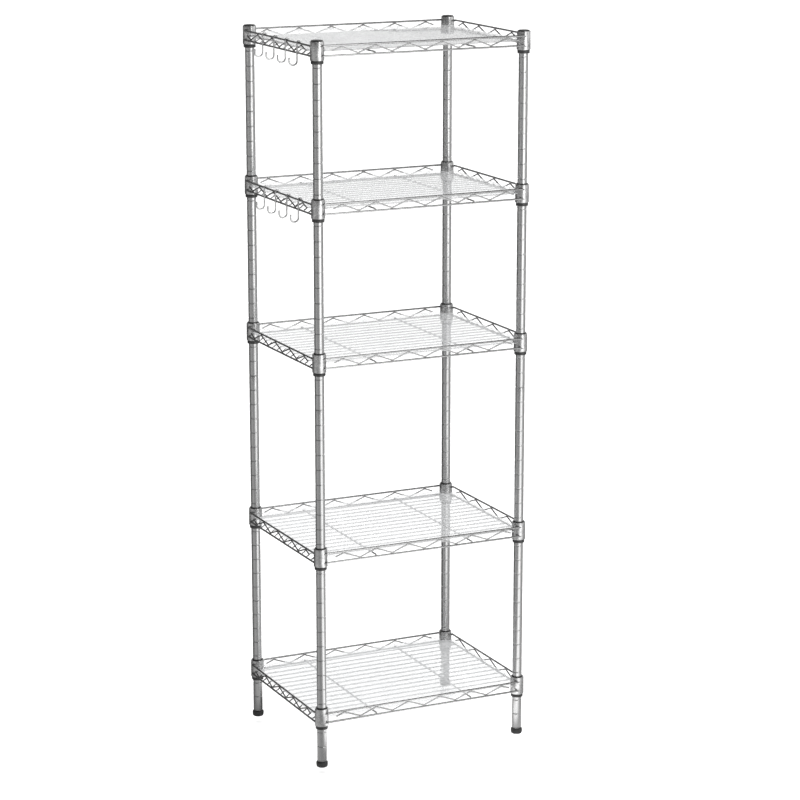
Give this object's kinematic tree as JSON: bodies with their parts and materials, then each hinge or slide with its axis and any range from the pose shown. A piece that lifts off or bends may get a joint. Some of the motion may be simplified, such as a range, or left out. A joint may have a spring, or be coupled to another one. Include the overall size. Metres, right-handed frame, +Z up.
{
  "type": "wire shelving rack",
  "caption": "Tall narrow wire shelving rack with grooved round posts, shelves on tapered collars, clear liners, side hooks and levelling feet.",
  "frame": {"origin": "on the floor, under the middle of the overall box, hooks included", "axes": "+Z up, +X to the right along the width, -Y towards the front, hooks on the -X side"},
  "size_m": [0.4158, 0.3052, 1.224],
  "materials": {
    "post_steel": "satin silver-grey coated tube",
    "collar_steel": "satin silver-grey coating, slightly mottled over the weld",
    "wire_steel": "satin silver-grey coated wire",
    "hook_steel": "satin silver-grey coated wire",
    "stud_steel": "bright plated",
    "inner_steel": "plain, hidden inside the tubes",
    "black_plastic": "matt moulded",
    "clear_plastic": "clear, slightly milky and glossy"
  },
  "bodies": {
    "frame": {"post_front_left_lower": "post_steel", "post_front_left_upper": "post_steel", "post_front_right_lower": "post_steel", "post_front_right_upper": "post_steel", "post_back_left_lower": "post_steel", "post_back_left_upper": "post_steel", "post_back_right_lower": "post_steel", "post_back_right_upper": "post_steel", "post_joiners": "inner_steel", "post_caps": "black_plastic", "foot_inserts": "inner_steel", "sleeves_shelf_1": "black_plastic", "sleeves_shelf_2": "black_plastic", "sleeves_shelf_3": "black_plastic", "sleeves_shelf_4": "black_plastic", "sleeves_shelf_5": "black_plastic"},
    "shelf_1": {"shelf_1_collars": "collar_steel", "shelf_1_rails": "wire_steel", "shelf_1_zigzags": "wire_steel", "shelf_1_deck": "wire_steel"},
    "shelf_2": {"shelf_2_collars": "collar_steel", "shelf_2_rails": "wire_steel", "shelf_2_zigzags": "wire_steel", "shelf_2_deck": "wire_steel"},
    "shelf_3": {"shelf_3_collars": "collar_steel", "shelf_3_rails": "wire_steel", "shelf_3_zigzags": "wire_steel", "shelf_3_deck": "wire_steel"},
    "shelf_4": {"shelf_4_collars": "collar_steel", "shelf_4_rails": "wire_steel", "shelf_4_zigzags": "wire_steel", "shelf_4_deck": "wire_steel"},
    "shelf_5": {"shelf_5_collars": "collar_steel", "shelf_5_rails": "wire_steel", "shelf_5_zigzags": "wire_steel", "shelf_5_deck": "wire_steel"},
    "liner_1": {"liner_1": "clear_plastic"},
    "liner_2": {"liner_2": "clear_plastic"},
    "liner_3": {"liner_3": "clear_plastic"},
    "liner_4": {"liner_4": "clear_plastic"},
    "liner_5": {"liner_5": "clear_plastic"},
    "hook_1": {"hook_1": "hook_steel"},
    "hook_2": {"hook_2": "hook_steel"},
    "hook_3": {"hook_3": "hook_steel"},
    "hook_4": {"hook_4": "hook_steel"},
    "hook_5": {"hook_5": "hook_steel"},
    "hook_6": {"hook_6": "hook_steel"},
    "hook_7": {"hook_7": "hook_steel"},
    "hook_8": {"hook_8": "hook_steel"},
    "foot_front_left_stud": {"foot_front_left_stud": "stud_steel"},
    "foot_front_left_pad": {"foot_front_left_pad": "black_plastic"},
    "foot_front_right_stud": {"foot_front_right_stud": "stud_steel"},
    "foot_front_right_pad": {"foot_front_right_pad": "black_plastic"},
    "foot_back_left_stud": {"foot_back_left_stud": "stud_steel"},
    "foot_back_left_pad": {"foot_back_left_pad": "black_plastic"},
    "foot_back_right_stud": {"foot_back_right_stud": "stud_steel"},
    "foot_back_right_pad": {"foot_back_right_pad": "black_plastic"}
  },
  "joints": [
    {"name": "shelf_1_lift", "type": "slide", "parent": "frame", "child": "shelf_1", "axis": [0, 0, 1], "range_m": [0, 0.06]},
    {"name": "shelf_2_lift", "type": "slide", "parent": "frame", "child": "shelf_2", "axis": [0, 0, 1], "range_m": [0, 0.2]},
    {"name": "shelf_3_lift", "type": "slide", "parent": "frame", "child": "shelf_3", "axis": [0, 0, 1], "range_m": [0, 0.2]},
    {"name": "shelf_4_lift", "type": "slide", "parent": "frame", "child": "shelf_4", "axis": [0, 0, 1], "range_m": [0, 0.27]},
    {"name": "shelf_5_lift", "type": "slide", "parent": "frame", "child": "shelf_5", "axis": [0, 0, 1], "range_m": [0, 0.22]},
    {"name": "liner_1_lift", "type": "slide", "parent": "shelf_1", "child": "liner_1", "axis": [0, 0, 1], "range_m": [0, 0.1]},
    {"name": "liner_2_lift", "type": "slide", "parent": "shelf_2", "child": "liner_2", "axis": [0, 0, 1], "range_m": [0, 0.1]},
    {"name": "liner_3_lift", "type": "slide", "parent": "shelf_3", "child": "liner_3", "axis": [0, 0, 1], "range_m": [0, 0.1]},
    {"name": "liner_4_lift", "type": "slide", "parent": "shelf_4", "child": "liner_4", "axis": [0, 0, 1], "range_m": [0, 0.1]},
    {"name": "liner_5_lift", "type": "slide", "parent": "shelf_5", "child": "liner_5", "axis": [0, 0, 1], "range_m": [0, 0.1]},
    {"name": "hook_1_swing", "type": "hinge", "parent": "shelf_1", "child": "hook_1", "pos_m": [-0.18956, -0.094, 1.21515], "axis": [0, 1, 0], "range_deg": [0, 75]},
    {"name": "hook_2_swing", "type": "hinge", "parent": "shelf_1", "child": "hook_2", "pos_m": [-0.18956, -0.047, 1.21515], "axis": [0, 1, 0], "range_deg": [0, 12]},
    {"name": "hook_3_swing", "type": "hinge", "parent": "shelf_1", "child": "hook_3", "pos_m": [-0.18956, 0, 1.21515], "axis": [0, 1, 0], "range_deg": [0, 75]},
    {"name": "hook_4_swing", "type": "hinge", "parent": "shelf_1", "child": "hook_4", "pos_m": [-0.18956, 0.047, 1.21515], "axis": [0, 1, 0], "range_deg": [0, 75]},
    {"name": "hook_5_swing", "type": "hinge", "parent": "shelf_2", "child": "hook_5", "pos_m": [-0.18956, -0.094, 0.96115], "axis": [0, 1, 0], "range_deg": [0, 75]},
    {"name": "hook_6_swing", "type": "hinge", "parent": "shelf_2", "child": "hook_6", "pos_m": [-0.18956, -0.047, 0.96115], "axis": [0, 1, 0], "range_deg": [0, 12]},
    {"name": "hook_7_swing", "type": "hinge", "parent": "shelf_2", "child": "hook_7", "pos_m": [-0.18956, 0, 0.96115], "axis": [0, 1, 0], "range_deg": [0, 75]},
    {"name": "hook_8_swing", "type": "hinge", "parent": "shelf_2", "child": "hook_8", "pos_m": [-0.18956, 0.047, 0.96115], "axis": [0, 1, 0], "range_deg": [0, 75]},
    {"name": "foot_front_left_travel", "type": "slide", "parent": "frame", "child": "foot_front_left_stud", "axis": [0, 0, -1], "range_m": [0, 0.012]},
    {"name": "foot_front_left_turn", "type": "hinge", "parent": "foot_front_left_stud", "child": "foot_front_left_pad", "pos_m": [-0.17765, -0.139, 0], "axis": [0, 0, -1], "range_deg": [0, 4320]},
    {"name": "foot_front_right_travel", "type": "slide", "parent": "frame", "child": "foot_front_right_stud", "axis": [0, 0, -1], "range_m": [0, 0.012]},
    {"name": "foot_front_right_turn", "type": "hinge", "parent": "foot_front_right_stud", "child": "foot_front_right_pad", "pos_m": [0.19435, -0.139, 0], "axis": [0, 0, -1], "range_deg": [0, 4320]},
    {"name": "foot_back_left_travel", "type": "slide", "parent": "frame", "child": "foot_back_left_stud", "axis": [0, 0, -1], "range_m": [0, 0.012]},
    {"name": "foot_back_left_turn", "type": "hinge", "parent": "foot_back_left_stud", "child": "foot_back_left_pad", "pos_m": [-0.17765, 0.139, 0], "axis": [0, 0, -1], "range_deg": [0, 4320]},
    {"name": "foot_back_right_travel", "type": "slide", "parent": "frame", "child": "foot_back_right_stud", "axis": [0, 0, -1], "range_m": [0, 0.012]},
    {"name": "foot_back_right_turn", "type": "hinge", "parent": "foot_back_right_stud", "child": "foot_back_right_pad", "pos_m": [0.19435, 0.139, 0], "axis": [0, 0, -1], "range_deg": [0, 4320]}
  ],
  "couplings": [
    {"joint": "foot_front_left_travel", "follows": "foot_front_left_turn", "m_per_rad": 0.00015915},
    {"joint": "foot_front_right_travel", "follows": "foot_front_right_turn", "m_per_rad": 0.00015915},
    {"joint": "foot_back_left_travel", "follows": "foot_back_left_turn", "m_per_rad": 0.00015915},
    {"joint": "foot_back_right_travel", "follows": "foot_back_right_turn", "m_per_rad": 0.00015915}
  ]
}
